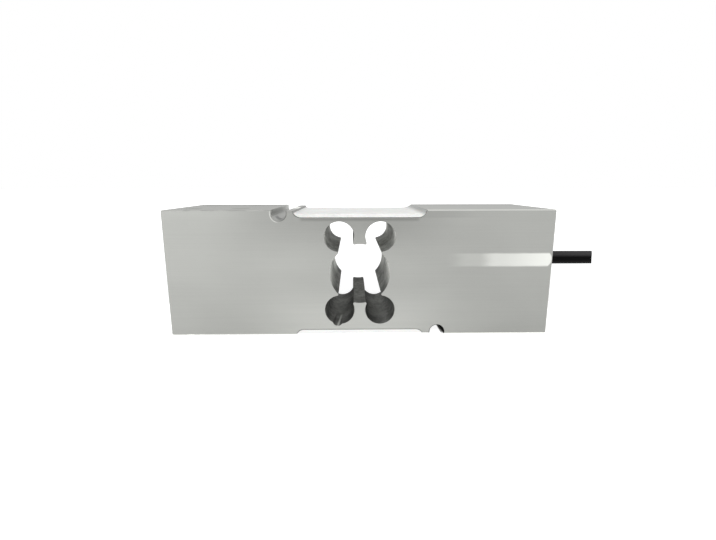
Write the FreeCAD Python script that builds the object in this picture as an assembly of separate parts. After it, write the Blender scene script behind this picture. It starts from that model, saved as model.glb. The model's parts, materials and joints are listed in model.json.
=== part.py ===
import FreeCAD, Part
import math
import os

from FreeCAD import Vector

# A single point load cell: a bending beam milled from one aluminium block, weakened in the middle by a
# cluster of five bores so that its two ends stay parallel under load. Foil gauges over the four thinnest
# places, their wiring and two small circuit boards lie in shallow recesses under white silicone.
# Millimetres. X runs along the beam towards the cable, Y goes across it, Z is up, and the origin is in
# the middle of the bottom.

# Beam
beam_length = 150.0
beam_width = 46.5
beam_height = 49.5
edge_break = 0.4
centre_z = beam_height / 2

# Bore cluster: a centre bore and four flexure bores, joined by straight necks
centre_bore_radius = 11.7
flexure_bore_radius = 5.85
flexure_x = 7.95
flexure_z = 14.5
neck_width = 6.9

# Chip at the front rim of the lower left flexure bore
chip_x = -8.8
chip_floor_z = 3.6
chip_radius = 2.0
chip_inner_radius = 1.2
chip_length = 14.0

# Gauge recesses, which cross the beam at the top and the bottom
recess_floor_half = 22.3
recess_end_radius = 3.2
top_recess_depth = 2.85
bottom_recess_depth = 1.9
top_floor_z = beam_height - top_recess_depth
bottom_floor_z = bottom_recess_depth

# Grooves that part the clamped ends from the recesses, and the low ridge between the two
groove_x = 30.8
groove_width = 5.6
top_groove_depth = 4.2
bottom_groove_depth = 3.65
ridge_relief = 0.4

# Four M8 holes under the load end's top face and four in the fixed end's bottom face
mount_x = 57.0
mount_spacing_x = 19.0
mount_spacing_y = 25.0
tap_radius = 3.4
tap_depth = 16.0
countersink_radius = 4.2
countersink_depth = 0.4

# Wire ways: the cable bore in the end face, the channel behind it and the bore between the recesses
cable_z = 27.0
cable_bore_radius = 5.0
cable_bore_depth = 20.0
cable_bore_countersink = 0.5
channel_radius = 2.2
riser_x = 18.8

# Cable: jacket, braided shield and filler round four insulated conductors, cut through on a slant
cable_end_x = 103.9
cable_stock_x = 107.0
cut_slant = 29.7
jacket_radius = 2.85
shield_radius = 1.95
filler_radius = 1.75
jacket_start_x = 60.5
shield_start_x = 59.5
filler_start_x = 58.8
conductor_radius = 0.5
conductor_offset = 0.6
conductor_bend = 1.2
outer_conductor_bend = 1.9
core_radius = 0.25
core_length = 1.0
conductor_places = {"red": (1, -1), "black": (1, 1), "green": (-1, -1), "white": (-1, 1)}

# Rubber bush and sealing compound round the cable
bush_start_x = 61.5
bush_length = 10.5
sealant_length = 2.6

# Strain gauges, one over each flexure bore
backing_size = Vector(9.0, 5.0, 0.12)
foil_thickness = 0.05
strand_count = 8
strand_pitch = 0.45
strand_width = 0.22
strand_start = -3.9
strand_end = 0.9
loop_width = 0.35
tab_size = Vector(1.9, 1.3, foil_thickness)
tab_start = 1.4
tab_y = 1.35

# Flat leads from the gauges to the boards
lead_width = 0.4
lead_thickness = 0.08
lead_overlap = 0.4
lead_rise = 1.6
lead_landing = 1.3

# Circuit boards, which cover the riser's two ends
board_size = Vector(6.8, 20.0, 0.6)
pad_size = Vector(1.0, 1.3, 0.05)
gauge_pad_x = riser_x - 2.7
near_pad_y = 4.2
far_pad_y = 7.2
solder_size = Vector(0.75, 0.75, 0.3)
resistor_size = Vector(1.25, 2.0, 0.45)
resistor_x = riser_x + 1.6
resistor_y = 7.6

# Link wires in the riser, on the side away from the cable
link_radius = 0.25
link_circle = 1.85
link_angle = 38.0

# Silicone
potting_thickness = 1.45
potting_inset = 0.15
potting_round = 0.4

pad_top = board_size.z + pad_size.z
tab_top = backing_size.z + foil_thickness


# Shapes shared by the pieces


def box(size, centre_x, centre_y, floor):
    """A block of that size, centred in plan, standing on the height floor."""
    corner = Vector(centre_x - size.x / 2, centre_y - size.y / 2, floor)
    return Part.makeBox(size.x, size.y, size.z, corner)


def rod(radius, start, end):
    return Part.makeCylinder(radius, start.distanceToPoint(end), start, end - start)


def wire(points, radius):
    """A round wire along the points, mitred at each corner."""
    section = Part.Wire(Part.makeCircle(radius, points[0], points[1] - points[0]))
    mitred = 1
    return Part.makePolygon(points).makePipeShell([section], True, False, mitred)


def to_top(shape):
    """Moves a shape made on the plane Z = 0 onto the floor of the top recess."""
    return shape.translated(Vector(0, 0, top_floor_z))


def to_bottom(shape):
    """Hangs a shape made on the plane Z = 0 from the floor of the bottom recess."""
    return shape.mirror(Vector(), Vector(0, 0, 1)).translated(Vector(0, 0, bottom_floor_z))


# Beam


def recess_end(side, face_depth, recess_depth, place):
    """The hollow end of a recess: a quarter round from its floor towards the face."""
    turn = math.acos((face_depth - recess_depth + recess_end_radius) / recess_end_radius)

    def point(angle):
        reach = recess_floor_half + recess_end_radius * math.sin(angle)
        depth = recess_depth - recess_end_radius * (1 - math.cos(angle))
        return place(side * reach, depth)

    return [point(turn), point(turn / 2), point(0)]


def face_edges(recess_depth, groove_depth, place):
    """One long face in profile, from the clamped end past its groove, ridge and recess.

    place turns a position along the face and a depth under it into a point."""
    outer_wall = -groove_x - groove_width / 2
    inner_wall = -groove_x + groove_width / 2
    wall_foot = groove_depth - groove_width / 2
    near_end = recess_end(-1, ridge_relief, recess_depth, place)
    far_end = recess_end(1, 0, recess_depth, place)[::-1]
    groove = [place(outer_wall, wall_foot), place(-groove_x, groove_depth), place(inner_wall, wall_foot)]
    runs = [
        (place(-beam_length / 2, 0), place(outer_wall, 0)),
        (place(outer_wall, 0), groove[0]),
        (groove[2], place(inner_wall, ridge_relief)),
        (place(inner_wall, ridge_relief), near_end[0]),
        (near_end[2], far_end[0]),
        (far_end[2], place(beam_length / 2, 0)),
    ]
    edges = [Part.LineSegment(start, end).toShape() for start, end in runs]
    edges += [Part.Arc(*arc).toShape() for arc in (groove, near_end, far_end)]
    return edges


def beam_blank():
    """The block with its recesses and grooves. The fixed end's face is the load end's, turned over."""

    def top(x, depth):
        return Vector(x, -beam_width / 2, beam_height - depth)

    def bottom(x, depth):
        return Vector(-x, -beam_width / 2, depth)

    edges = face_edges(top_recess_depth, top_groove_depth, top)
    edges += face_edges(bottom_recess_depth, bottom_groove_depth, bottom)
    for end in (-beam_length / 2, beam_length / 2):
        edges.append(Part.LineSegment(bottom(-end, 0), top(end, 0)).toShape())
    outline = Part.Wire(Part.__sortEdges__(edges))
    blank = Part.Face(outline).extrude(Vector(0, beam_width, 0))
    return blank.makeChamfer(edge_break, [edge for edge in blank.Edges if is_outer_edge(edge)])


def is_outer_edge(edge):
    """True for the rims of the front and back faces and for the block's four long corners."""
    extent = edge.BoundBox
    on_side = extent.YLength < 1 and abs(abs(extent.Center.y) - beam_width / 2) < 0.01
    on_end = abs(abs(extent.Center.x) - beam_length / 2) < 0.01
    return on_side or (on_end and extent.YLength > 1)


def cross_bore(radius, x, z):
    """A bore through the beam from front to back."""
    return rod(radius, Vector(x, -beam_width, z), Vector(x, beam_width, z))


def bore_cluster():
    bores = [cross_bore(centre_bore_radius, 0, centre_z)]
    for side in (-1, 1):
        for level in (-1, 1):
            x = side * flexure_x
            z = level * flexure_z
            bores.append(cross_bore(flexure_bore_radius, x, centre_z + z))
            bores.append(neck(x, z))
    return bores


def neck(x, z):
    """The straight slot that opens a flexure bore into the centre bore."""
    reach = math.hypot(x, z)
    corner = Vector(0, -beam_width, -neck_width / 2)
    slot = Part.makeBox(reach, 2 * beam_width, neck_width, corner)
    slot.rotate(Vector(), Vector(0, -1, 0), math.degrees(math.atan2(z, x)))
    return slot.translated(Vector(0, 0, centre_z))


def rim_chip():
    start = Vector(chip_x, -beam_width / 2, chip_floor_z + chip_radius)
    return Part.makeCone(chip_radius, chip_inner_radius, chip_length, start, Vector(0, 1, 0))


def tapped_hole(mouth, inward):
    """A flat-bottomed blind hole for an M8 screw, with the countersink at its mouth."""
    countersink = Part.makeCone(countersink_radius, tap_radius, countersink_depth, mouth, inward)
    return rod(tap_radius, mouth, mouth + inward * tap_depth).fuse(countersink)


def mounting_holes():
    holes = []
    for side_x in (-1, 1):
        for side_y in (-1, 1):
            x = side_x * mount_spacing_x / 2
            y = side_y * mount_spacing_y / 2
            holes.append(tapped_hole(Vector(x - mount_x, y, beam_height), Vector(0, 0, -1)))
            holes.append(tapped_hole(Vector(x + mount_x, y, 0), Vector(0, 0, 1)))
    return holes


def wire_ways():
    end_face = Vector(beam_length / 2, 0, cable_z)
    mouth_radius = cable_bore_radius + cable_bore_countersink
    return [
        rod(channel_radius, Vector(riser_x, 0, cable_z), end_face),
        rod(channel_radius, Vector(riser_x, 0, 0), Vector(riser_x, 0, beam_height)),
        rod(cable_bore_radius, end_face - Vector(cable_bore_depth, 0, 0), end_face),
        Part.makeCone(
            mouth_radius, cable_bore_radius, cable_bore_countersink, end_face, Vector(-1, 0, 0)
        ),
    ]


def load_cell_body():
    tools = bore_cluster() + [rim_chip()] + mounting_holes() + wire_ways()
    return beam_blank().cut(tools)


# Cable


def beyond_cut():
    """The space past the slanting cut. The cut passes through the cable's middle at cable_end_x."""
    reach = 4 * jacket_radius
    space = Part.makeBox(reach, reach, reach, Vector(0, -reach / 2, -reach / 2))
    space.rotate(Vector(), Vector(0, 0, 1), -cut_slant)
    return space.translated(Vector(cable_end_x, 0, cable_z))


def cable_rod(radius, start_x, end_x):
    return rod(radius, Vector(start_x, 0, cable_z), Vector(end_x, 0, cable_z))


def cable_ring(outer_radius, inner_radius, start_x, end_x):
    return cable_rod(outer_radius, start_x, end_x).cut(cable_rod(inner_radius, start_x, end_x))


def conductor_plan(row, column):
    """Where a conductor stands in the riser. The upper row in the cable is nearer the cable's end."""
    return riser_x + row * conductor_offset, column * conductor_offset


def insulated_conductor(row, column):
    """Along the cable and the channel, then up the riser to just below the top recess."""
    x, y = conductor_plan(row, column)
    z = cable_z + row * conductor_offset
    bend = conductor_bend if row > 0 else outer_conductor_bend
    route = [
        Vector(cable_stock_x, y, z),
        Vector(x + bend, y, z),
        Vector(x, y, z + bend),
        Vector(x, y, top_floor_z - core_length),
    ]
    return wire(route, conductor_radius)


def bare_core(row, column):
    """The stripped end of a conductor, which goes up through the board."""
    x, y = conductor_plan(row, column)
    start = Vector(x, y, top_floor_z - core_length)
    return rod(core_radius, start, Vector(x, y, top_floor_z + board_size.z))


def cable_filler():
    hollows = []
    for row, column in conductor_places.values():
        start = Vector(filler_start_x, column * conductor_offset, cable_z + row * conductor_offset)
        hollows.append(rod(conductor_radius, start, start + Vector(cable_stock_x - filler_start_x, 0, 0)))
    return cable_rod(filler_radius, filler_start_x, cable_stock_x).cut(hollows)


def cable_pieces():
    sealant_start_x = bush_start_x + bush_length
    sealant_end_x = sealant_start_x + sealant_length
    stock = {
        "cable_jacket": cable_ring(jacket_radius, shield_radius, jacket_start_x, cable_stock_x),
        "cable_shield": cable_ring(shield_radius, filler_radius, shield_start_x, cable_stock_x),
        "cable_filler": cable_filler(),
    }
    for colour, place in conductor_places.items():
        stock[f"conductor_{colour}"] = insulated_conductor(*place)
    offcut = beyond_cut()
    pieces = {node: shape.cut(offcut) for node, shape in stock.items()}
    pieces["cable_bush"] = cable_ring(cable_bore_radius, jacket_radius, bush_start_x, sealant_start_x)
    pieces["entry_sealant"] = cable_ring(cable_bore_radius, jacket_radius, sealant_start_x, sealant_end_x)
    for colour, place in conductor_places.items():
        pieces[f"core_{colour}"] = bare_core(*place)
    return pieces


# Gauges, boards and wires. Those of one recess are made on the plane Z = 0 and moved to its floor.


def gauge_backing(side):
    return box(backing_size, side * flexure_x, 0, 0)


def gauge_foil(side):
    """A grid of thin strands that run to and fro, with a solder tab on each of its two ends."""
    middle = side * flexure_x
    floor = backing_size.z

    def bar(start, end, y, width):
        corner = Vector(middle + start, y - width / 2, floor)
        return Part.makeBox(end - start, width, foil_thickness, corner)

    pieces = []
    for index in range(strand_count):
        y = (index - (strand_count - 1) / 2) * strand_pitch
        is_outer = index in (0, strand_count - 1)
        pieces.append(bar(strand_start, tab_start if is_outer else strand_end, y, strand_width))
        if index < strand_count - 1:
            loop_start = strand_start if index % 2 == 0 else strand_end - loop_width
            loop_y = y + strand_pitch / 2
            pieces.append(bar(loop_start, loop_start + loop_width, loop_y, strand_pitch + strand_width))
    for row in (-1, 1):
        pieces.append(bar(tab_start, tab_start + tab_size.x, row * tab_y, tab_size.y))
    return pieces[0].fuse(pieces[1:]).removeSplitter()


def flat_lead(start, end):
    """A ribbon from a gauge tab to a board pad. It lies flat on both and rises just before the board."""
    run = end - start
    foot = run.Length - lead_landing - lead_rise
    landing = run.Length - lead_landing
    end_overlap = run.Length + lead_overlap
    under = [(-lead_overlap, tab_top), (foot, tab_top), (landing, pad_top), (end_overlap, pad_top)]
    over = [(along, height + lead_thickness) for along, height in reversed(under)]
    outline = [Vector(along, -lead_width / 2, height) for along, height in under + over]
    ribbon = Part.Face(Part.makePolygon(outline + outline[:1])).extrude(Vector(0, lead_width, 0))
    ribbon.rotate(Vector(), Vector(0, 0, 1), math.degrees(math.atan2(run.y, run.x)))
    return ribbon.translated(start)


def gauge_leads(side):
    """The two leads of a gauge. Those of the farther one pass outside the nearer one."""
    tab_x = side * flexure_x + tab_start + tab_size.x / 2
    pad_y = near_pad_y if side > 0 else far_pad_y
    return [
        flat_lead(Vector(tab_x, row * tab_y, 0), Vector(gauge_pad_x, row * pad_y, 0))
        for row in (-1, 1)
    ]


def link_plan(index):
    """Where a link wire stands in the riser."""
    angle = math.radians(180 + index * link_angle)
    return riser_x + link_circle * math.cos(angle), link_circle * math.sin(angle)


def link_wire(index):
    """A wire from one board to the other, which ends flush with the outer side of each."""
    x, y = link_plan(index)
    bottom = Vector(x, y, bottom_floor_z - board_size.z)
    return rod(link_radius, bottom, Vector(x, y, top_floor_z + board_size.z))


def board_blank():
    return box(board_size, riser_x, 0, 0)


def terminal_board(wire_places):
    """A board with a plated hole for each wire that comes up through it."""
    holes = [rod(link_radius, Vector(x, y, 0), Vector(x, y, board_size.z)) for x, y in wire_places]
    return board_blank().cut(holes)


def gauge_pads():
    places = [row * y for row in (-1, 1) for y in (near_pad_y, far_pad_y)]
    return [box(pad_size, gauge_pad_x, y, board_size.z) for y in places]


def solder_joints(wire_places):
    return [box(solder_size, x, y, board_size.z) for x, y in wire_places]


def trim_resistor(side):
    return box(resistor_size, resistor_x, side * resistor_y, board_size.z)


def potting(recess_depth, embedded):
    """The silicone that fills a recess up to its level, cast round all that lies in it."""
    front = -beam_width / 2 + potting_inset

    def place(x, depth):
        return Vector(x, front, recess_depth - depth)

    left = recess_end(-1, recess_depth - potting_thickness, recess_depth, place)
    right = recess_end(1, recess_depth - potting_thickness, recess_depth, place)
    edges = [
        Part.LineSegment(left[2], right[2]).toShape(),
        Part.Arc(*right).toShape(),
        Part.LineSegment(right[0], left[0]).toShape(),
        Part.Arc(*left).toShape(),
    ]
    profile = Part.Face(Part.Wire(Part.__sortEdges__(edges)))
    slab = profile.extrude(Vector(0, beam_width - 2 * potting_inset, 0))
    rims = [edge for edge in slab.Edges if is_potting_rim(edge)]
    return slab.makeFillet(potting_round, rims).cut(embedded)


def is_potting_rim(edge):
    """True for the two long edges of the silicone's free face, at the beam's sides."""
    extent = edge.BoundBox
    return extent.XLength > recess_floor_half and extent.ZMin > potting_thickness / 2


# Assembly


def recess_pieces(name, recess_depth, move, wire_places, extras):
    """What lies in one recess, moved to its place, with the silicone cast round it.

    extras are shapes that only this recess holds, by the names of their nodes."""
    pieces = {
        f"gauge_pads_{name}": Part.makeCompound(gauge_pads()),
        f"solder_joints_{name}": Part.makeCompound(solder_joints(wire_places)),
        **extras,
    }
    for side, end in ((-1, "left"), (1, "right")):
        pieces[f"gauge_backing_{name}_{end}"] = gauge_backing(side)
        pieces[f"gauge_foil_{name}_{end}"] = gauge_foil(side)
        pieces[f"gauge_leads_{name}_{end}"] = Part.makeCompound(gauge_leads(side))
    embedded = [solid for shape in pieces.values() for solid in shape.Solids]
    pieces[f"{name}_potting"] = potting(recess_depth, embedded + [board_blank()])
    pieces[f"terminal_board_{name}"] = terminal_board(wire_places)
    return {node: move(shape) for node, shape in pieces.items()}


def load_cell():
    link_indexes = (-1, 0, 1)
    link_places = [link_plan(index) for index in link_indexes]
    core_places = [conductor_plan(*place) for place in conductor_places.values()]
    resistors = {"span_resistor": trim_resistor(-1), "zero_resistor": trim_resistor(1)}
    return {
        "load_cell_body": load_cell_body(),
        **cable_pieces(),
        **{f"link_wire_{index + 2}": link_wire(index) for index in link_indexes},
        **recess_pieces("top", top_recess_depth, to_top, link_places + core_places, resistors),
        **recess_pieces("bottom", bottom_recess_depth, to_bottom, link_places, {}),
    }


os.makedirs("parts", exist_ok=True)
for node, shape in load_cell().items():
    shape.exportStep(f"parts/{node}.step")
    print(f"{node}: {len(shape.Solids)} solid(s), {shape.Volume:.3f} mm3, valid {shape.isValid()}")
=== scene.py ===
import json
import math
from types import SimpleNamespace

import bpy
from mathutils import Matrix, Vector, noise


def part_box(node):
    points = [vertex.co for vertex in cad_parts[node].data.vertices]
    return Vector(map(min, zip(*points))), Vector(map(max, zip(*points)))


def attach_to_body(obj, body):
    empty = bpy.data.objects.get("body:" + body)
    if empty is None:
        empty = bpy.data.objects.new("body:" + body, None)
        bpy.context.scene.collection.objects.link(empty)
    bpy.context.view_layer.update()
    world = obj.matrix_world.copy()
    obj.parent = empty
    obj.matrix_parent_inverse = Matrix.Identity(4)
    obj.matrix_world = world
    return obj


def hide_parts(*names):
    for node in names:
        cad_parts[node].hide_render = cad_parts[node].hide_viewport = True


# The looks of a single point load cell. Metres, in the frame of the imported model: X along the beam
# towards the cable, Y across it, Z up.

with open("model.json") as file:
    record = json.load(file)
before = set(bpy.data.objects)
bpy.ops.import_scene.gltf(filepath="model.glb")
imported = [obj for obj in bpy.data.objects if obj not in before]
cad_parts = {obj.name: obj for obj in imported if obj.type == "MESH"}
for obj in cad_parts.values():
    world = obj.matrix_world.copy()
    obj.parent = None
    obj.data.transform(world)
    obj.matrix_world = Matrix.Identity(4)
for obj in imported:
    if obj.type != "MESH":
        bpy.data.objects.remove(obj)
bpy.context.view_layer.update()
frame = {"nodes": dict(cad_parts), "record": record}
nodes = frame["nodes"]

MM = 0.001
BODY = "root"
beam_low, beam_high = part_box("load_cell_body")
front_y = beam_low.y
back_y = beam_high.y
end_x = beam_high.x
top_z = beam_high.z
middle_z = top_z / 2


# Mesh helpers


def add_mesh(name, points, faces, smooth=True):
    """A new object at the origin with that mesh."""
    mesh = bpy.data.meshes.new(name)
    mesh.from_pydata([tuple(point) for point in points], [], faces)
    mesh.validate()
    mesh.update()
    if smooth:
        mesh.shade_smooth()
    piece = bpy.data.objects.new(name, mesh)
    bpy.context.scene.collection.objects.link(piece)
    return piece


def ring_strip(first, second):
    """Quads between two closed rings of points, given by their indexes."""
    count = len(first)
    return [
        (first[i], first[(i + 1) % count], second[(i + 1) % count], second[i])
        for i in range(count)
    ]


def attach(piece, material, replaced=()):
    """Fastens a piece to the beam and gives it its finish."""
    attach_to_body(piece, BODY)
    for node in replaced:
        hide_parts(node)
    piece.data.materials.clear()
    piece.data.materials.append(material)


def revolve(name, profile, centre, segments):
    """A ring round an axis along X. The profile is a closed loop of (x, radius)."""
    points = []
    for step in range(segments):
        angle = 2 * math.pi * step / segments
        for x, radius in profile:
            points.append(Vector((x, radius * math.cos(angle), radius * math.sin(angle))) + centre)
    size = len(profile)
    faces = []
    for step in range(segments):
        first = [step * size + i for i in range(size)]
        second = [(step + 1) % segments * size + i for i in range(size)]
        faces += ring_strip(first, second)
    return add_mesh(name, points, faces)


# Material helpers


def linear(value):
    """The linear level of one 0 to 255 colour value."""
    share = value / 255
    return share / 12.92 if share <= 0.04045 else ((share + 0.055) / 1.055) ** 2.4


def colour(red, green, blue):
    """A colour for a node, from its three 0 to 255 values."""
    return (linear(red), linear(green), linear(blue), 1.0)


class Finish:
    """One material, built node by node."""

    def __init__(self, name, **constants):
        self.material = bpy.data.materials.new(name)
        self.material.use_nodes = True
        self.tree = self.material.node_tree
        self.shader = self.tree.nodes["Principled BSDF"]
        self.shader.inputs["Specular IOR Level"].default_value = 0.5
        for socket, value in constants.items():
            self.shader.inputs[socket.replace("_", " ")].default_value = value
        self.place = self.add("ShaderNodeTexCoord").outputs["Object"]
        self.normal = None

    def add(self, kind, settings=None, **inputs):
        """A new node. Its inputs are named, and take a value or another node's output."""
        node = self.tree.nodes.new(kind)
        for setting, value in (settings or {}).items():
            setattr(node, setting, value)
        for socket, value in inputs.items():
            self.put(node.inputs[socket.replace("_", " ")], value)
        return node

    def put(self, socket, value):
        """Sets a node's input, or links it where the value is another node's output."""
        if isinstance(value, bpy.types.NodeSocket):
            self.tree.links.new(value, socket)
        else:
            socket.default_value = value

    def math(self, operation, *values):
        """One operation on numbers, which are values or other nodes' outputs."""
        node = self.add("ShaderNodeMath", {"operation": operation})
        for socket, value in zip(node.inputs, values):
            self.put(socket, value)
        return node.outputs[0]

    def together(self, operation, values):
        """All the values taken together by one operation, from the first to the last."""
        result = values[0]
        for value in values[1:]:
            result = self.math(operation, result, value)
        return result

    def product(self, *values):
        return self.together("MULTIPLY", values)

    def total(self, *values):
        return self.together("ADD", values)

    def highest(self, *values):
        return self.together("MAXIMUM", values)

    def blend(self, share, first, second):
        """A number between two others."""
        node = self.add("ShaderNodeMix", {"data_type": "FLOAT"})
        self.put(node.inputs[0], share)
        self.put(node.inputs[2], first)
        self.put(node.inputs[3], second)
        return node.outputs[0]

    def distance(self, first, second, first_centre, second_centre):
        """How far a point is from an axis, in the plane across it."""
        one = self.math("SUBTRACT", first, first_centre)
        other = self.math("SUBTRACT", second, second_centre)
        return self.math("SQRT", self.total(self.product(one, one), self.product(other, other)))

    def length(self, vector):
        return self.add("ShaderNodeVectorMath", {"operation": "LENGTH"}, Vector=vector).outputs["Value"]

    def parts(self, vector):
        """The three components of a vector."""
        node = self.add("ShaderNodeSeparateXYZ", Vector=vector)
        return node.outputs[0], node.outputs[1], node.outputs[2]

    def facing(self):
        """The components of the surface's normal."""
        return self.parts(self.add("ShaderNodeNewGeometry").outputs["Normal"])

    def rise(self, value, start, end, low=0.0, high=1.0, shape="SMOOTHSTEP"):
        """Goes from low at start to high at end, smoothly or in another shape, and stays there."""
        node = self.add(
            "ShaderNodeMapRange",
            {"interpolation_type": shape},
            Value=value,
            From_Min=start,
            From_Max=end,
            To_Min=low,
            To_Max=high,
        )
        return node.outputs[0]

    def fall(self, value, start, end):
        """Goes smoothly from 1 at start to 0 at end."""
        return self.rise(value, start, end, 1.0, 0.0)

    def window(self, value, low, high, soft):
        """1 between low and high, and 0 outside, with soft edges."""
        up = self.rise(value, low - soft / 2, low + soft / 2)
        down = self.fall(value, high - soft / 2, high + soft / 2)
        return self.product(up, down)

    def grain(self, scale, stretch=(1, 1, 1), detail=3.0, roughness=0.5, place=None):
        """Noise with that many cells to the metre."""
        scales = tuple(scale * share for share in stretch)
        mapped = self.add("ShaderNodeMapping", Vector=place or self.place, Scale=scales).outputs[0]
        settings = {"Scale": 1.0, "Detail": detail, "Roughness": roughness}
        return self.add("ShaderNodeTexNoise", Vector=mapped, **settings).outputs["Fac"]

    def between(self, share, first, second):
        """A colour between two others."""
        node = self.add("ShaderNodeMix", {"data_type": "RGBA"})
        self.put(node.inputs["Factor"], share)
        self.put(node.inputs[6], first)
        self.put(node.inputs[7], second)
        return node.outputs[2]

    def bump(self, height, depth):
        """Adds relief. The height is 0 to 1 and the depth is in metres."""
        node = self.add("ShaderNodeBump", Height=height, Distance=depth, Strength=1.0)
        if self.normal:
            self.put(node.inputs["Normal"], self.normal)
        self.normal = node.outputs[0]

    def finish(self, base, roughness):
        """Joins the colour, the roughness and the relief to the shader. Gives the material."""
        self.put(self.shader.inputs["Base Color"], base)
        self.put(self.shader.inputs["Roughness"], roughness)
        if self.normal:
            self.put(self.shader.inputs["Normal"], self.normal)
        return self.material


def simple_finish(name, first, second, scale, roughness, relief, stretch=(1, 1, 1), **constants):
    """A finish whose colour, gloss and relief vary with one noise and a finer one."""
    made = Finish(name, **constants)
    coarse = made.grain(scale, stretch)
    fine = made.grain(scale * 6, stretch, detail=2.0)
    made.bump(coarse, relief)
    made.bump(fine, relief / 3)
    mixed = made.math("MULTIPLY_ADD", fine, 0.4, made.product(coarse, 0.6))
    share = made.rise(mixed, 0.3, 0.7)
    gloss = made.rise(coarse, 0.3, 0.7, roughness[0], roughness[1])
    return made.finish(made.between(share, first, second), gloss)


# Aluminium
#
# Its masks go by the place on the beam, and the frame gives only the box of the whole beam, so the
# places of its cuts are named here. A pair is a lowest and a highest place.

# The bore cluster: half its length, its distance from the top and bottom, and the centre bore's radii
cluster_half = 15.0 * MM
cluster_margin = 3.3 * MM
centre_bore_wall = (11.4 * MM, 12.0 * MM)
# The grooves, of which the top one is at the left and the bottom one at the right
groove_x = 30.8 * MM
groove_walls = (27.6 * MM, 34.2 * MM)
groove_round = 1.4 * MM
# The top recess's left end, with the ridge beside it
ridge_walls = (-27.9 * MM, -24.8 * MM)
recess_end_wall = (-25.7 * MM, -23.8 * MM)
edge_break = 0.4 * MM
# The chip in the lower left bore's rim
chip_x = -8.8 * MM
chip_z = 5.6 * MM
chip_radius = 2.0 * MM
# The pale streak near the cable
streak_z = 30.3 * MM
streak_walls = (27.8 * MM, 32.9 * MM)


def beam_place(made):
    """Where a point of the beam lies and how it faces, which all the masks go by."""
    x, y, z = made.parts(made.place)
    normal = made.facing()
    along, across, up = (made.math("ABSOLUTE", part) for part in normal)
    on_end, on_side, on_top = (made.rise(part, 0.9, 0.95) for part in (along, across, up))
    from_side = made.math("SUBTRACT", back_y, made.math("ABSOLUTE", y))
    return SimpleNamespace(
        x=x, y=y, z=z, off_x=made.math("ABSOLUTE", x),
        along=along, across=across, up=up, upward=normal[2],
        on_end=on_end, on_side=on_side, on_top=on_top,
        from_side=from_side, from_top=made.math("SUBTRACT", top_z, z),
        inside=made.rise(from_side, 0.02 * MM, 0.15 * MM),
        upper=made.rise(z, 26 * MM, 28 * MM), lower=made.fall(z, 20.5 * MM, 21.5 * MM),
    )


def cutter_marks(made, at):
    """Lines along the sides, wide arcs over the top and bottom, and upright lines on the ends."""
    side_lines = made.grain(1000, (0.02, 1.0, 3.0), detail=4.0)
    from_arc_centre = made.add("ShaderNodeMapping", Vector=made.place, Location=(30 * MM, 55 * MM, 0.0))
    flat = made.add("ShaderNodeVectorMath", {"operation": "MULTIPLY"})
    made.put(flat.inputs[0], from_arc_centre.outputs[0])
    made.put(flat.inputs[1], (1.0, 1.0, 0.0))
    arc_radius = made.add("ShaderNodeCombineXYZ", X=made.length(flat.outputs[0]))
    arcs = made.grain(2600, place=arc_radius.outputs[0])
    end_lines = made.grain(1000, (1.0, 3.0, 0.03))
    return made.total(
        made.product(side_lines, at.on_side),
        made.total(made.product(arcs, at.on_top), made.product(end_lines, at.on_end)),
    )


def face_tone(made, at, cuts, speckle):
    """The tone of the milled faces: cloudy, marked by the cutter and with slow gradients of painted light
    and shade.
    """
    clouds = made.grain(28, (1.0, 1.0, 1.6), detail=2.0)
    tone = made.math("MULTIPLY_ADD", clouds, 0.06, 0.36)
    marked = made.rise(cuts, 0.3, 0.7, -1.0, 1.0)
    tone = made.math("MULTIPLY_ADD", marked, made.blend(at.on_side, 0.022, 0.010), tone)
    tone = made.total(tone, made.rise(speckle, 0.3, 0.7, -0.007, 0.007))

    # Painted light and shade: duller in the upper middle, lighter at the foot, duller on the top faces at
    # the left and back, and duller on the sides towards the ends
    from_left = made.rise(at.x, -60 * MM, -18 * MM, 0.06, 0.28)
    to_right = made.rise(at.x, 12 * MM, 45 * MM, 0.26, 0.03)
    upper_part = made.rise(at.z, 28 * MM, 46 * MM)
    painted_shade_middle = made.product(made.math("MINIMUM", from_left, to_right), upper_part, at.on_side)
    lower_part = made.rise(at.z, 6 * MM, 22 * MM, 0.22, 0.0)
    painted_light_foot = made.product(lower_part, made.fall(at.off_x, 4 * MM, 60 * MM), at.on_side)
    painted_shade_left = made.rise(at.x, -50 * MM, 0.0, 0.17, 0.0)
    painted_shade_back = made.rise(at.y, 0.0, 20 * MM, 0.0, 0.10)
    painted_shade_top = made.product(made.total(painted_shade_left, painted_shade_back), at.on_top)
    painted_shade_ends = made.product(made.rise(at.off_x, 15 * MM, 55 * MM, 0.0, 0.078), at.on_side)

    # A thin painted shadow line under the pad, and a fainter painted shade line under the top edge at its
    # right
    painted_shadow_under_pad = made.product(
        made.window(at.from_top, 2.9 * MM, 4.2 * MM, 1.0 * MM),
        made.rise(at.off_x, 21.5 * MM, 23.5 * MM, 0.18, 0.0),
        at.on_side,
    )
    painted_shade_under_edge = made.product(
        made.window(at.from_top, 0.4 * MM, 3.0 * MM, 1.0 * MM),
        made.window(at.x, 24 * MM, 42 * MM, 18 * MM),
        at.on_side,
    )
    painted_shadow_lines = made.math("MULTIPLY_ADD", painted_shade_under_edge, 0.08, painted_shadow_under_pad)
    more = made.total(1.0, painted_light_foot)
    less = made.total(painted_shade_middle, painted_shadow_lines, painted_shade_top)
    # Painted light: lighter at the left, darker at the right
    painted_light_left_to_right = made.rise(at.x, -70 * MM, 30 * MM, 1.05, 0.955)
    all_but_ends = made.math("SUBTRACT", 1.0, painted_shade_ends)
    return made.product(tone, made.math("SUBTRACT", more, less), painted_light_left_to_right, all_but_ends)


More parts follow.
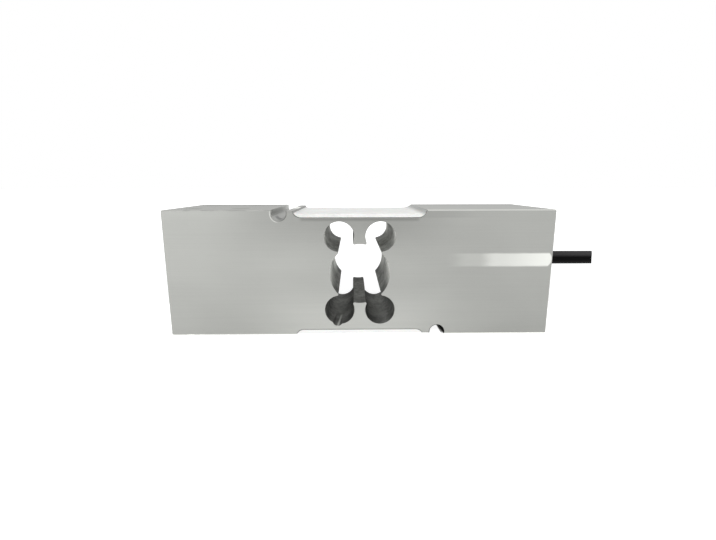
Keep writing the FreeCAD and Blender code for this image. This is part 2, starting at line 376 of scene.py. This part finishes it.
def bore_painted_light_and_shade(made, at):
    """Painted light and shade in the bores: dark walls for the shade inside them, painted light that the
    centre bore takes from both mouths, and painted light on the upper rims."""
    mottle = made.grain(520, (1.0, 0.6, 1.0), roughness=0.65)
    # Painted shade: the walls are dark for the shade inside the bores, mottled at random
    base = made.rise(mottle, 0.3, 0.7, 0.20, 0.32)
    sideways = made.rise(at.along, 0.55, 0.97)
    in_centre = made.window(made.distance(at.x, at.z, 0.0, middle_z), *centre_bore_wall, 0.1 * MM)
    across_middle = (-5 * MM, 5 * MM)
    upper_light_gain = 1.85

    front_light = made.product(
        made.rise(at.y, front_y, 10 * MM, 0.40, 0.0),
        made.rise(at.z, 17.5 * MM, 30 * MM, 0.1, 1.9),
        made.rise(at.x, *across_middle, 1.0, 0.66),
    )
    back_light = made.product(
        made.rise(at.y, 0.0, 12 * MM),
        made.rise(at.z, 18 * MM, 21.5 * MM, 0.1, 0.40),
        made.rise(at.x, *across_middle, 1.0, 0.4),
    )
    back_rim_light = made.rise(at.y, back_y - 3 * MM, back_y, 0.0, 0.25)
    left_wall_light = made.rise(at.z, 18 * MM, 26.5 * MM, 0.92, 2.2)
    right_wall_light = made.rise(at.z, 19 * MM, 29 * MM, 0.86, 2.3)
    walls = made.product(base, made.blend(made.rise(at.x, *across_middle), left_wall_light, right_wall_light))
    mouths = made.total(front_light, made.total(back_rim_light, back_light))
    centre = made.math("MULTIPLY_ADD", mouths, sideways, walls)

    rim_light = made.product(
        made.rise(at.from_side, 0.0, 14 * MM, 0.38, 0.0),
        sideways,
        made.rise(at.z, 35.5 * MM, 41.5 * MM, 0.1, 1.0),
    )
    upper = made.total(made.product(base, upper_light_gain), rim_light)
    # Painted shade: the lower bores darken towards their sides
    lower = made.product(base, made.rise(at.along, 0.3, 0.95, 1.30, 0.58))
    outer = made.blend(at.lower, made.blend(at.upper, base, upper), lower)

    # Painted shade: the floors darken towards the rims
    rim_floor_shade = made.product(made.fall(at.from_side, 3 * MM, 15 * MM), made.rise(at.upward, 0.2, 0.6))
    floor_shade_level = made.blend(in_centre, made.rise(at.off_x, 5.5 * MM, 10.5 * MM, 0.34, 0.60), 0.56)
    walls_and_floors = made.blend(in_centre, outer, centre)
    return made.product(walls_and_floors, made.rise(rim_floor_shade, 0.0, 1.0, 1.0, floor_shade_level))


def groove_mask(made, at, first, last, from_face, *floor):
    """The inside of a groove between two places along the beam. It goes by the distance from the face
    that the groove is cut in, and fades out between the two depths just past its floor."""
    return made.product(
        at.inside,
        made.window(at.x, first, last, 0.2 * MM),
        made.rise(from_face, 0.1 * MM, 0.3 * MM),
        made.fall(from_face, *floor),
    )


def top_groove_painted_shade(made, at):
    """Walls darkened by painted shade with depth and towards the right, with a painted shadow band across
    them.
    """
    painted_shadow_band = made.product(
        made.window(at.from_side, 6.2 * MM, 12.0 * MM, 2.5 * MM),
        made.rise(at.from_top, 2.6 * MM, 3.4 * MM),
        made.rise(at.x, -32.0 * MM, -30.6 * MM, 1.0, 0.25),
    )
    # Painted shade: the walls darken with depth and towards the right
    walls = made.product(
        made.rise(at.from_top, 1.0 * MM, 4.2 * MM, 0.41, 0.34),
        made.rise(at.x, -31.4 * MM, -29.2 * MM, 1.0, 0.74),
    )
    return made.blend(painted_shadow_band, walls, 0.13)


def groove_lip_highlight(made, at, speckle):
    """A painted highlight on the broken edge round the top groove's end, mostly at its left."""
    below_round = made.math("MAXIMUM", at.from_top, groove_round)
    reach = made.distance(at.x, below_round, -groove_x, groove_round)
    return made.product(
        at.on_side,
        made.window(reach, 2.8 * MM, 3.4 * MM, 0.3 * MM),
        made.rise(at.x, -32.2 * MM, -groove_x, 1.0, 0.1),
        made.fall(at.from_top, 5.0 * MM, 5.5 * MM),
        made.rise(speckle, 0.3, 0.6, 0.6, 1.0),
    )


def painted_edge_highlights(made, at):
    """Painted highlights on the broken edges, in patches at the left, and their tone."""
    to_end = made.math("SUBTRACT", end_x, at.off_x)
    to_face = made.math("MINIMUM", at.from_top, at.z)
    reaches = (at.from_side, to_face, to_end)
    near = [made.fall(reach, edge_break, edge_break + 0.05 * MM) for reach in reaches]
    on_edge = made.rise(made.total(*near), 1.4, 1.6)
    slanting = made.fall(made.highest(at.up, at.along, at.across), 0.93, 0.96)
    patchy = made.rise(made.grain(140, (1.0, 0.1, 0.1)), 0.47, 0.60, 0.12, 1.0)
    even = made.rise(at.x, -30 * MM, 20 * MM)
    low_edge = made.rise(at.z, 1 * MM, 2 * MM, 0.6, 0.0)
    mask = made.product(slanting, on_edge, made.highest(even, low_edge, patchy))
    # Painted highlight: edges that face up are lighter, the top ones more so to the right, and upright
    # ones dull
    top_level = made.rise(at.x, -25 * MM, 15 * MM, 0.48, 0.65)
    level = made.blend(made.rise(at.from_top, 1 * MM, 2 * MM), top_level, 0.84)
    return mask, made.blend(made.rise(at.up, 0.2, 0.4), 0.32, level)


def ridge_top_highlight(made, at):
    """A painted highlight on the top of the ridge between the groove and the top recess."""
    return made.product(
        made.window(at.x, *ridge_walls, 0.3 * MM),
        made.window(at.from_top, 0.2 * MM, 0.6 * MM, 0.1 * MM),
        at.on_top,
        made.rise(at.from_side, 14 * MM, 22 * MM),
    )


def end_wall_shade(made, at):
    """Painted shade on the wall at the top recess's left end, below the ridge."""
    return made.product(
        made.window(at.x, *recess_end_wall, 0.1 * MM),
        made.fall(at.from_top, 2.4 * MM, 2.7 * MM),
        made.rise(at.from_top, 0.4 * MM, 0.42 * MM),
        at.inside,
    )


def pale_streak(made, at):
    """The pale streak near the cable and its tone. It is on the front only and fades in."""
    end_roundness = 180.0
    wavy = made.grain(120, (1.0, 1.0, 3.0), detail=2.0)
    off_middle = made.math("SUBTRACT", at.z, streak_z)
    rounded_end = made.math("MULTIPLY_ADD", made.product(off_middle, off_middle), end_roundness, at.x)
    mask = made.product(
        at.on_side,
        made.fall(at.y, 0.0, 1 * MM),
        made.rise(made.math("MULTIPLY_ADD", wavy, 6 * MM, at.x), 36 * MM, 45 * MM),
        made.fall(rounded_end, end_x - 0.7 * MM, end_x),
        made.window(made.math("MULTIPLY_ADD", wavy, 0.5 * MM, at.z), *streak_walls, 0.8 * MM),
    )
    step = made.rise(made.math("MULTIPLY_ADD", wavy, 4 * MM, at.x), 48.5 * MM, 54.5 * MM, 0.415, 0.575)
    return mask, made.total(step, made.rise(at.x, 53 * MM, 75 * MM, 0.0, 0.135))


def torn_chip(made, at):
    """The bright torn line in the chip of the lower left bore's rim. It slants a little with depth."""
    slant = -0.11
    half_width = 0.4 * MM
    slanted = made.math("MULTIPLY_ADD", at.from_side, slant, at.x)
    from_chip = made.distance(at.x, at.z, chip_x, chip_z)
    return made.product(
        made.fall(from_chip, chip_radius - 0.02 * MM, chip_radius + 0.04 * MM),
        made.fall(at.z, 4.6 * MM, 5.0 * MM),
        made.fall(at.y, front_y + 10 * MM, front_y + 15 * MM),
        at.inside,
        made.window(slanted, chip_x - half_width, chip_x + half_width, 0.6 * MM),
    )


def aluminium():
    """Milled metal, with painted light and shade in many of its tones. Each mask gives one part of the
    beam its tone. Later ones lie over earlier ones.
    """
    made = Finish("beam_aluminium", Specular_IOR_Level=0.0)
    at = beam_place(made)
    cuts = cutter_marks(made, at)
    speckle = made.grain(6000, detail=2.0)
    rings = made.grain(1000, (0.15, 4.0, 0.15), detail=2.0)
    in_cluster = made.product(
        made.fall(at.off_x, cluster_half, cluster_half + 0.2 * MM),
        at.inside,
        made.window(at.z, cluster_margin, top_z - cluster_margin, 0.1 * MM),
    )
    made.bump(cuts, made.blend(at.on_side, 0.022 * MM, 0.012 * MM))
    made.bump(speckle, 0.006 * MM)
    made.bump(made.product(rings, in_cluster), 0.01 * MM)

    near_wall, far_wall = groove_walls
    in_top_groove = groove_mask(made, at, -far_wall, -near_wall, at.from_top, 4.5 * MM, 4.6 * MM)
    in_bottom_groove = groove_mask(made, at, near_wall, far_wall, at.z, 4.4 * MM, 4.6 * MM)
    tone = face_tone(made, at, cuts, speckle)
    for mask, level in (
        (in_cluster, bore_painted_light_and_shade(made, at)),
        (in_top_groove, top_groove_painted_shade(made, at)),
        (groove_lip_highlight(made, at, speckle), 0.66),
        # Painted shade: the bottom groove's inside is dark, near black on its right part
        (in_bottom_groove, made.rise(at.x, 30.0 * MM, 31.2 * MM, 0.12, 0.012)),
        painted_edge_highlights(made, at),
        (ridge_top_highlight(made, at), made.rise(speckle, 0.3, 0.7, 0.90, 0.98)),
        (end_wall_shade(made, at), 0.25),
        pale_streak(made, at),
        (torn_chip(made, at), 0.62),
    ):
        tone = made.blend(mask, tone, level)
    green, blue = (made.product(tone, share) for share in (1.012, 0.965))
    tint = made.add("ShaderNodeCombineColor", Red=tone, Green=green, Blue=blue)

    bore_metal = made.rise(at.upper, 0.0, 1.0, 0.28, 0.36)
    metal = made.blend(in_bottom_groove, made.blend(in_cluster, 0.9, bore_metal), 0.05)
    made.put(made.shader.inputs["Metallic"], metal)
    gloss = made.rise(made.total(cuts, made.product(speckle, 0.5)), 0.3, 1.1, 0.40, 0.52)
    rough_places = made.highest(in_cluster, in_bottom_groove)
    return made.finish(tint.outputs[0], made.blend(rough_places, gloss, 0.62))


# Threads of the tapped holes


def hole_places():
    """The mouths of the tapped holes and the way into each, from the record's mounts."""
    places = []
    for mount in frame["record"]["mounts"]:
        if mount["kind"] != "bolt_pattern":
            continue
        middle = Vector(mount["pos_m"])
        inward = -Vector(mount["axis"])
        for side_x in (-0.5, 0.5):
            for side_y in (-0.5, 0.5):
                x = side_x * mount["dims"]["spacing_x_mm"] * MM
                y = side_y * mount["dims"]["spacing_y_mm"] * MM
                places.append((middle + Vector((x, y, 0)), inward))
    return places


def thread(mouth, inward, points, faces):
    """The crests of one M8 thread, as a ridge that winds down the wall of its hole."""
    pitch = 1.25 * MM
    root = 3.42 * MM
    crest = 3.12 * MM
    start_depth = 1.2 * MM
    steps = 40
    turns = 11
    section = ((-0.5, root), (-0.07, crest), (0.07, crest), (0.5, root))
    first = len(points)
    for step in range(steps * turns + 1):
        angle = 2 * math.pi * step / steps
        for offset, radius in section:
            down = start_depth + (step / steps + offset) * pitch
            around = Vector((math.cos(angle), math.sin(angle), 0)) * radius
            points.append(mouth + around + inward * down)
    size = len(section)
    for step in range(steps * turns):
        start = first + step * size
        for i in range(size - 1):
            faces.append((start + i, start + i + 1, start + size + i + 1, start + size + i))


def threads():
    """The threads of all the tapped holes, as one piece."""
    points = []
    faces = []
    for mouth, inward in hole_places():
        thread(mouth, inward, points, faces)
    return add_mesh("mount_threads", points, faces)


# Silicone


def silicone_pad(name, node, way, climbs):
    """A poured pad, from its recess floor up (way 1) or down (way -1). It is slightly uneven, is hollow
    where the gauges and boards lie, and climbs the left and right end walls by the two heights."""
    low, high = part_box(node)
    floor_z = low.z if way > 0 else high.z
    thickness = high.z - low.z
    settled = 0.09 * MM
    half_y = high.y
    floor_half = 22.3 * MM
    end_radius = 3.2 * MM
    rim = 0.4 * MM
    rim_fade = 2.5 * MM
    climb_fade = 1.1 * MM
    hollow_height = 1.13 * MM
    hollow_half_y = 11.5 * MM
    hollow_share_x = 0.985
    columns, rows = 110, 104
    wall_shares = (0.0, 0.02, 0.06, 0.13, 0.24, 0.40, 0.60, 0.80)
    rim_steps = 4

    def rim_at(u):
        """How far the front and back edges are rounded. The rounding fades out at the end walls."""
        share = min(1.0, (1 - abs(u)) * floor_half / rim_fade)
        return rim * (0.15 + 0.85 * share)

    def half_x(height):
        """Half the recess's length at one height. Its end walls are round."""
        return floor_half + math.sqrt(end_radius ** 2 - (end_radius - height) ** 2)

    def surface(u, v):
        """The pad's thickness at one place, u along and v across, both from -1 to 1."""
        spot = Vector((u * 2.4, v * 2.2, 3.0 * way))
        uneven = 0.05 * MM * noise.noise(spot) + 0.02 * MM * noise.noise(spot * 3.1)
        from_end = (1 - abs(u)) * floor_half
        climb = climbs[u > 0] * math.exp(-from_end / climb_fade)
        return thickness - settled + uneven + climb

    def hollow(u, v):
        """The height of the underside over the recess floor."""
        inner = abs(u) < hollow_share_x and abs(v) * half_y < hollow_half_y
        return hollow_height if inner else 0.0

    def grid(index, count):
        """From -1 to 1, closer together near both ends."""
        return math.sin(math.pi / 2 * (2 * index / count - 1))

    def at(u, v, height, inset):
        """The point there, at a height over the recess floor and an inset from the front or back."""
        return Vector((u * half_x(height), v * (half_y - inset), floor_z + way * height))

    border = [(i, 0) for i in range(columns)]
    border += [(columns, j) for j in range(rows)]
    border += [(i, rows) for i in range(columns, 0, -1)]
    border += [(0, j) for j in range(rows, 0, -1)]
    points = []

    def wall_ring(share, turn):
        """A ring round the pad, at a share of the wall's height and turned into the rounded rim."""
        ring = []
        for i, j in border:
            u, v = grid(i, columns), grid(j, rows)
            edge = rim_at(u)
            height = share * (surface(u, v) - edge) + edge * math.sin(turn)
            inset = edge * (1 - math.cos(turn))
            wander = 0.03 * MM * abs(noise.noise(Vector((u * 9, v * 9, 7.0)))) if height > 0 else 0.0
            ring.append(len(points))
            points.append(at(u, v, height, inset + wander))
        return ring

    def plane(height_at, inset):
        """A grid of points. Gives the index of the point in one column and row."""
        start = len(points)
        for i in range(columns + 1):
            for j in range(rows + 1):
                u, v = grid(i, columns), grid(j, rows)
                points.append(at(u, v, height_at(u, v), inset(u)))
        return lambda i, j: start + i * (rows + 1) + j

    rings = [wall_ring(share, 0.0) for share in wall_shares]
    rings += [wall_ring(1.0, turn * math.pi / 2 / rim_steps) for turn in range(rim_steps)]
    top = plane(surface, rim_at)
    base = plane(hollow, lambda u: 0.0)
    rings = [[base(i, j) for i, j in border], *rings, [top(i, j) for i, j in border]]

    faces = []
    for first, second in zip(rings, rings[1:]):
        faces += ring_strip(first, second)
    for i in range(columns):
        for j in range(rows):
            faces.append((top(i, j), top(i + 1, j), top(i + 1, j + 1), top(i, j + 1)))
            faces.append((base(i, j), base(i, j + 1), base(i + 1, j + 1), base(i + 1, j)))
    if way < 0:
        faces = [tuple(reversed(face)) for face in faces]
    return add_mesh(name, points, faces)


# Cable

jacket_low, jacket_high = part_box("cable_jacket")
shield_low, shield_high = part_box("cable_shield")
cable_axis_z = (jacket_low.z + jacket_high.z) / 2
cable_radius = (jacket_high.z - jacket_low.z) / 2
shield_radius = (shield_high.z - shield_low.z) / 2
cable_start_x = jacket_low.x
cable_slant = math.tan(math.radians(29.7))
cable_lean = -0.08
cable_end_x = jacket_high.x - cable_slant * cable_radius


def cable_route():
    """The points along the cable's middle, from its NURBS spline."""
    stops = [cable_start_x, end_x - 6 * MM, end_x + 4 * MM, end_x + 13 * MM, end_x + 22 * MM, cable_end_x]
    curve = bpy.data.curves.new("cable_route", "CURVE")
    curve.dimensions = "3D"
    spline = curve.splines.new("NURBS")
    spline.points.add(len(stops) - 1)
    for point, x in zip(spline.points, stops):
        point.co = (x, 0, cable_axis_z, 1.0)
    spline.order_u = 3
    spline.use_endpoint_u = True
    spline.resolution_u = 12
    route = bpy.data.objects.new("cable_route", curve)
    line = bpy.data.meshes.new_from_object(route)
    points = [vertex.co.copy() for vertex in line.vertices]
    bpy.data.meshes.remove(line)
    bpy.data.objects.remove(route)
    bpy.data.curves.remove(curve)
    return points


def cable_tube(route):
    """The jacket: outside, slanting cut face with slightly rounded rims, and inside."""
    segments = 96
    inner = shield_radius + 0.01 * MM
    smooth_within = inner + 0.2 * MM
    cut_length = 4 * MM
    unevenness = 0.004
    cut = [
        (-0.35 * MM, cable_radius),
        (-0.12 * MM, cable_radius - 0.01 * MM),
        (-0.03 * MM, cable_radius - 0.06 * MM),
        (0.0, cable_radius - 0.16 * MM),
        (0.0, inner + 0.14 * MM),
        (-0.04 * MM, inner + 0.04 * MM),
        (-0.2 * MM, inner),
        (-3.0 * MM, inner),
    ]
    stations = [(point.x - cable_end_x, cable_radius, 0.0) for point in route]
    stations = [station for station in stations if station[0] < -cut_length]
    stations += [(back, radius, 1.0) for back, radius in cut]
    points = []
    for back, radius, slant in stations:
        for step in range(segments):
            angle = 2 * math.pi * step / segments
            across, up = math.sin(angle), math.cos(angle)
            lump = 1 + unevenness * noise.noise(Vector((back * 160, across * 1.3, up * 1.3)))
            radial = radius * lump if radius > smooth_within else radius
            x = cable_end_x + back + slant * radial * (cable_slant * across + cable_lean * up)
            points.append(Vector((x, radial * across, cable_axis_z + radial * up)))
    rings = [list(range(i * segments, (i + 1) * segments)) for i in range(len(stations))]
    faces = []
    for first, second in zip(rings, rings[1:]):
        faces += ring_strip(second, first)
    return add_mesh("cable", points, faces)


def entry_seal():
    """The compound in the cable bore's mouth, drawn up a little along the bore and along the cable."""
    low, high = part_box("entry_sealant")
    outer = (high.z - low.z) / 2
    inner = cable_radius
    steps = 14
    depth = 0.42 * MM
    drawn_up = 0.3 * MM
    slope = 0.05 * MM
    profile = [(low.x, outer), (low.x, inner)]
    for step in range(steps + 1):
        share = step / steps
        sag = depth * math.sin(math.pi * share) ** 0.7
        profile.append((high.x + drawn_up - sag - slope * share, inner + share * (outer - inner)))
    return revolve("entry_seal", profile, Vector((0, 0, cable_axis_z)), 72)


# Finishes of the slots


def silicone():
    """White, greyer on the raised right end where the pad thins over the metal and painted shade darkens
    it, and whiter on the bottom pad as painted light against its shade.
    """
    made = Finish("white_silicone", Subsurface_Weight=0.08, Subsurface_Scale=1 * MM)
    clouds = made.grain(90)
    pits = made.grain(900, detail=2.0)
    made.bump(clouds, 0.04 * MM)
    made.bump(pits, 0.01 * MM)
    share = made.math("MULTIPLY_ADD", pits, 0.3, made.product(clouds, 0.7))
    base = made.between(made.rise(share, 0.3, 0.7), colour(227, 227, 224), colour(246, 246, 244))
    x, _, z = made.parts(made.place)
    # Greyer with painted shade where the pad thins up the right end wall
    thinning_and_shade = made.product(made.rise(x, 21.8 * MM, 24.9 * MM), made.rise(z, 47.0 * MM, 48.8 * MM))
    base = made.between(thinning_and_shade, base, colour(158, 159, 157))
    # Painted light: the bottom pad is made whiter against its shade
    bottom_painted_light = made.rise(z, 20 * MM, 30 * MM, 0.8, 0.0)
    base = made.between(bottom_painted_light, base, colour(255, 255, 254))
    return made.finish(base, made.rise(clouds, 0.3, 0.7, 0.38, 0.55))


def jacket():
    """Black, with settled dust and a painted sheen that lighten its upper side."""
    made = Finish("black_jacket", Specular_IOR_Level=0.045)
    upward = made.facing()[2]
    drawn = made.grain(1000, (0.05, 3.0, 3.0))
    dust = made.grain(2500)
    made.bump(drawn, 0.02 * MM)
    made.bump(dust, 0.01 * MM)
    # Painted sheen: faces turned up are lighter, flecked by dust
    dust_and_sheen = made.product(made.rise(upward, 0.15, 0.65), made.rise(dust, 0.2, 0.8, 0.75, 1.0))
    base = made.between(dust_and_sheen, (0.002, 0.002, 0.002, 1.0), (0.053, 0.052, 0.053, 1.0))
    return made.finish(base, made.rise(drawn, 0.3, 0.7, 0.42, 0.58))


def insulation(name, first, second, axis):
    """A wire's coloured cover, with its copper strands showing in the cut end."""
    made = Finish(name)
    x, y, z = made.parts(made.place)
    cut_x = made.math("MULTIPLY_ADD", y, cable_slant, cable_end_x)
    at_cut = made.rise(made.math("SUBTRACT", x, cut_x), -0.05 * MM, -0.02 * MM)
    in_core = made.fall(made.distance(y, z, axis.y, axis.z), 0.24 * MM, 0.27 * MM)
    strands = made.product(at_cut, in_core)
    cells = made.add("ShaderNodeTexVoronoi", Vector=made.place, Scale=6500.0)
    # Painted shade: the strands darken towards their edges, between one another
    shade_between_strands = made.rise(cells.outputs["Distance"], 0.1, 0.6)
    copper_tone = made.between(shade_between_strands, colour(214, 140, 96), colour(90, 50, 32))
    speckle = made.grain(2200)
    cover = made.between(made.rise(speckle, 0.3, 0.7), first, second)
    made.bump(speckle, 0.01 * MM)
    made.put(made.shader.inputs["Metallic"], strands)
    gloss = made.rise(speckle, 0.3, 0.7, 0.35, 0.5)
    return made.finish(made.between(strands, cover, copper_tone), gloss)


def braid():
    """Woven tinned wires: two sets of slanting ribs that cross."""
    made = Finish("tinned_braid", Metallic=1.0)
    ribs_around = 8.0
    ribs_along = 5200.0
    x, y, z = made.parts(made.place)
    around = made.math("ARCTAN2", made.math("SUBTRACT", z, cable_axis_z), y)
    heights = []
    for way in (-1, 1):
        phase = made.math("MULTIPLY_ADD", around, ribs_around * way, made.product(x, ribs_along))
        heights.append(made.math("MULTIPLY_ADD", made.math("SINE", phase), 0.5, 0.5))
    weave = made.highest(*heights)
    made.bump(weave, 0.08 * MM)
    # Painted shade and highlight: darker between the ribs, lighter on their crests
    base = made.between(weave, colour(96, 96, 98), colour(205, 205, 208))
    return made.finish(base, made.rise(weave, 0.0, 1.0, 0.5, 0.28))


# Each simple finish: its darker and its lighter colour, the cells of its noise to the metre, its lowest
# and highest roughness, its relief, and the noise's stretch where it has one
simple_finishes = {
    "black_rubber": ((26, 26, 27), (40, 40, 41), 900, (0.55, 0.75), 0.03 * MM),
    "black_sealant": ((18, 18, 19), (34, 34, 36), 500, (0.22, 0.42), 0.04 * MM),
    "white_filler": ((214, 210, 200), (240, 238, 230), 1400, (0.7, 0.9), 0.06 * MM, (0.2, 1, 1)),
    "copper": ((196, 120, 78), (226, 154, 110), 1800, (0.24, 0.42), 0.01 * MM),
    "wire_enamel": ((150, 72, 26), (190, 104, 44), 1500, (0.2, 0.35), 0.01 * MM),
    "board_laminate": ((22, 92, 52), (38, 118, 70), 1200, (0.3, 0.45), 0.02 * MM, (1, 1, 0.3)),
    "solder": ((168, 169, 172), (214, 215, 218), 1600, (0.25, 0.42), 0.03 * MM),
    "gauge_film": ((186, 128, 44), (214, 160, 74), 800, (0.3, 0.45), 0.01 * MM),
    "gauge_metal": ((150, 146, 138), (186, 182, 172), 2600, (0.3, 0.45), 0.005 * MM, (0.1, 1, 1)),
    "nickel_ribbon": ((170, 166, 156), (204, 200, 190), 2000, (0.25, 0.4), 0.01 * MM, (0.3, 1, 1)),
    "resistor_ceramic": ((38, 38, 40), (64, 64, 66), 2400, (0.4, 0.6), 0.01 * MM),
}
# What some of them set on the shader itself
shader_values = {
    "copper": {"Metallic": 1.0},
    "wire_enamel": {"Coat_Weight": 0.4},
    "solder": {"Metallic": 1.0},
    "gauge_metal": {"Metallic": 1.0},
    "nickel_ribbon": {"Metallic": 1.0},
}
# The darker and the lighter colour of each wire's cover
wire_colours = {
    "red": ((150, 22, 20), (178, 34, 28)),
    "black": ((22, 22, 23), (38, 38, 39)),
    "green": ((20, 104, 48), (34, 126, 62)),
    "white": ((214, 214, 210), (238, 238, 234)),
}


def conductor_axis(name):
    """A point on the line that a conductor follows in the cable."""
    low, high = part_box(f"conductor_{name}")
    radius = (high.y - low.y) / 2
    return Vector((0, (low.y + high.y) / 2, low.z + radius))


def finishes():
    """The material of each slot."""
    made = {
        "beam_aluminium": aluminium(),
        "white_silicone": silicone(),
        "black_jacket": jacket(),
        "tinned_braid": braid(),
    }
    for name, (darker, lighter, *rest) in simple_finishes.items():
        values = shader_values.get(name, {})
        made[name] = simple_finish(name, colour(*darker), colour(*lighter), *rest, **values)
    for wire, (darker, lighter) in wire_colours.items():
        name = f"{wire}_insulation"
        made[name] = insulation(name, colour(*darker), colour(*lighter), conductor_axis(wire))
    return made


def dress_nodes(made):
    """Gives each CAD node the finish of its slot in the record."""
    slots = {part["node"]: part["material_slot"] for part in frame["record"]["subparts"]}
    for name, node in nodes.items():
        material = made[slots[name]]
        if not node.material_slots:
            node.data.materials.append(material)
        for place in node.material_slots:
            place.material = material


# Camera, light and floor

camera_place = Vector((-2.78, -180.6, 58.5)) * MM
camera_yaw = math.radians(0.75)
camera_pitch = math.radians(11.56)
camera_roll = math.radians(-0.09)
sensor_width = 36
focal_length = 20.79
light_strength = 0.72
lamps = (
    # name, place, width and power
    ("front_left", (-0.7, -1.0, 0.6), 0.9, 6.0),
    ("front_right", (0.8, -0.9, 0.5), 0.7, 2.0),
)


def add_camera():
    """At the photograph's angle, distance and width of view."""
    level = Vector((math.cos(camera_yaw), -math.sin(camera_yaw), 0))
    ahead = Vector((math.sin(camera_yaw), math.cos(camera_yaw), 0))
    forward = ahead * math.cos(camera_pitch) - Vector((0, 0, math.sin(camera_pitch)))
    upright = level.cross(forward)
    right = level * math.cos(camera_roll) + upright * math.sin(camera_roll)
    above = upright * math.cos(camera_roll) - level * math.sin(camera_roll)
    data = bpy.data.cameras.new("camera")
    data.sensor_width = sensor_width
    data.lens = focal_length
    data.clip_start = 0.005
    data.clip_end = 50
    camera = bpy.data.objects.new("camera", data)
    turn = Matrix((right, above, -forward)).transposed()
    camera.matrix_world = Matrix.Translation(camera_place) @ turn.to_4x4()
    bpy.context.scene.collection.objects.link(camera)
    bpy.context.scene.camera = camera


def seen_share(tree):
    """1 for rays from the camera and for reflected and refracted ones, and 0 for light."""
    path = tree.nodes.new("ShaderNodeLightPath")
    total = path.outputs["Is Camera Ray"]
    for name in ("Is Glossy Ray", "Is Transmission Ray"):
        node = tree.nodes.new("ShaderNodeMath")
        node.operation = "MAXIMUM"
        tree.links.new(total, node.inputs[0])
        tree.links.new(path.outputs[name], node.inputs[1])
        total = node.outputs[0]
    return total


def add_world():
    """Soft light from all round, in front of a white backdrop."""
    world = bpy.data.worlds.new("studio")
    bpy.context.scene.world = world
    world.use_nodes = True
    tree = world.node_tree
    tree.nodes.clear()
    mix = tree.nodes.new("ShaderNodeMixShader")
    tree.links.new(seen_share(tree), mix.inputs[0])
    for socket, strength in zip(mix.inputs[1:], (light_strength, 1.0)):
        background = tree.nodes.new("ShaderNodeBackground")
        background.inputs["Color"].default_value = (1, 1, 1, 1)
        background.inputs["Strength"].default_value = strength
        tree.links.new(background.outputs[0], socket)
    output = tree.nodes.new("ShaderNodeOutputWorld")
    tree.links.new(mix.outputs[0], output.inputs["Surface"])


def floor_glow(made):
    """How far the floor is lifted to white: less near the beam, more beneath it, where it is seen through
    the cuts, and not at all in a strip under the bottom groove, which keeps its contact shadow."""
    from_middle = made.length(made.place)
    x, y, _ = made.parts(made.place)
    from_axis = made.math("ABSOLUTE", y)
    around = made.rise(from_middle, 0.1, 0.7, 0.50, 1.0)
    beneath = made.rise(from_axis, back_y - 0.5 * MM, back_y, 0.92, 0.0, "LINEAR")
    left_of_strip = made.fall(x, 32.6 * MM, 33.2 * MM)
    right_of_strip = made.math("GREATER_THAN", x, 34.5 * MM)
    past_beam = made.rise(from_axis, back_y - 3 * MM, back_y - 0.5 * MM, shape="LINEAR")
    outside = made.highest(left_of_strip, right_of_strip, past_beam)
    return made.product(outside, made.highest(beneath, around))


def add_floor():
    """A white floor that keeps the shadow. What is seen of it is lifted to white, and from below it is
    clear."""
    size = 6.0
    drop = -0.05 * MM
    points = [(-size, -size, drop), (size, -size, drop), (size, size, drop), (-size, size, drop)]
    floor = add_mesh("floor", points, [(0, 1, 2, 3)], smooth=False)
    made = Finish("floor", Specular_IOR_Level=0.1, Emission_Color=(1, 1, 1, 1))
    glow = made.product(seen_share(made.tree), floor_glow(made))
    made.put(made.shader.inputs["Emission Strength"], glow)
    base = made.between(made.grain(60, detail=2.0), (0.80, 0.80, 0.80, 1), (0.82, 0.82, 0.82, 1))
    material = made.finish(base, 0.9)

    below = made.add("ShaderNodeNewGeometry").outputs["Backfacing"]
    mix = made.add("ShaderNodeMixShader")
    made.put(mix.inputs[0], below)
    made.put(mix.inputs[1], made.shader.outputs[0])
    made.put(mix.inputs[2], made.add("ShaderNodeBsdfTransparent").outputs[0])
    made.put(made.tree.nodes["Material Output"].inputs["Surface"], mix.outputs[0])
    floor.data.materials.append(material)


def add_lamp(name, place, width, power):
    """A round soft lamp that points at the middle of the beam."""
    data = bpy.data.lights.new(name, "AREA")
    data.shape = "DISK"
    data.size = width
    data.energy = power
    lamp = bpy.data.objects.new(name, data)
    lamp.location = place
    aim = Vector((0, 0, middle_z)) - lamp.location
    lamp.rotation_euler = aim.to_track_quat("-Z", "Y").to_euler()
    bpy.context.scene.collection.objects.link(lamp)


bpy.context.scene.view_settings.view_transform = "Standard"
add_camera()
add_world()
add_floor()
for lamp in lamps:
    add_lamp(*lamp)

materials = finishes()
dress_nodes(materials)

route = cable_route()
cable = cable_tube(route)
attach(cable, materials["black_jacket"], ["cable_jacket"])
attach(entry_seal(), materials["black_sealant"], ["entry_sealant"])
attach(threads(), materials["beam_aluminium"])
for name, node, way, climbs in (
    ("top_silicone", "top_potting", 1, (0.3 * MM, 1.2 * MM)),
    ("bottom_silicone", "bottom_potting", -1, (0.4 * MM, 0.1 * MM)),
):
    attach(silicone_pad(name, node, way, climbs), materials["white_silicone"], [node])

bpy.context.view_layer.update()
